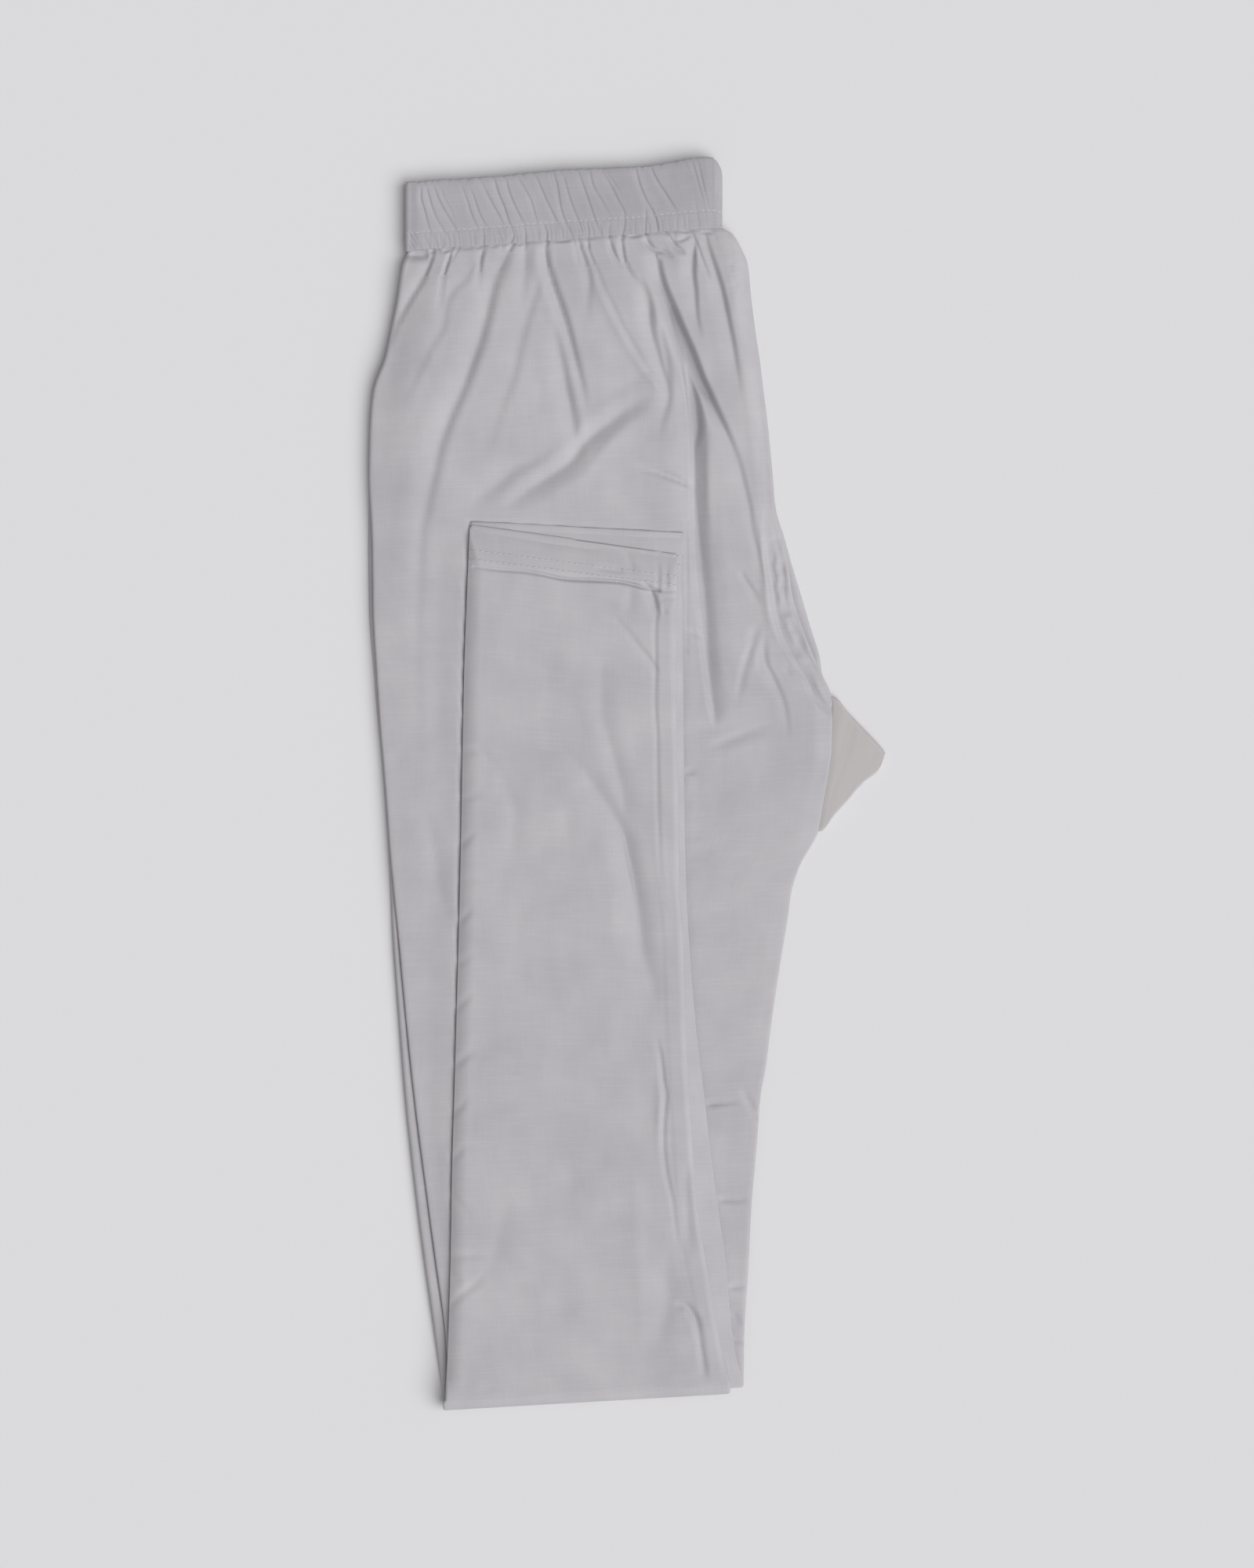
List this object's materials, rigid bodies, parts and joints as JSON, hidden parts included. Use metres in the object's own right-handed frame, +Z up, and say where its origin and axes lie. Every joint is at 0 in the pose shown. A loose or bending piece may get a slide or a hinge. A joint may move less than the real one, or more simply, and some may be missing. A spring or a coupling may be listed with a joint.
{
  "type": "folded cotton leggings",
  "caption": "Pull-on woven cotton leggings with a gathered elastic waist, crotch gusset and narrow legs, folded in half lengthwise and again at the knee, lying flat.",
  "frame": {"origin": "middle of the outline, on the surface that the folded leggings lie on", "axes": "+X from the outer sides towards the crotch, +Y from the knee fold towards the waist, +Z up off the surface"},
  "size_m": [0.2632, 0.6376, 0.0133],
  "materials": {
    "leg_cotton": "plain-weave slub cotton, soft low sheen, pale lilac-grey white",
    "waistband_cotton": "the same cotton, gathered over elastic",
    "gusset_cotton": "the same cotton, a little warmer in tone"
  },
  "bodies": {
    "root": {"waistband": "waistband_cotton", "left_leg": "leg_cotton", "right_leg": "leg_cotton", "gusset": "gusset_cotton"}
  },
  "joints": []
}
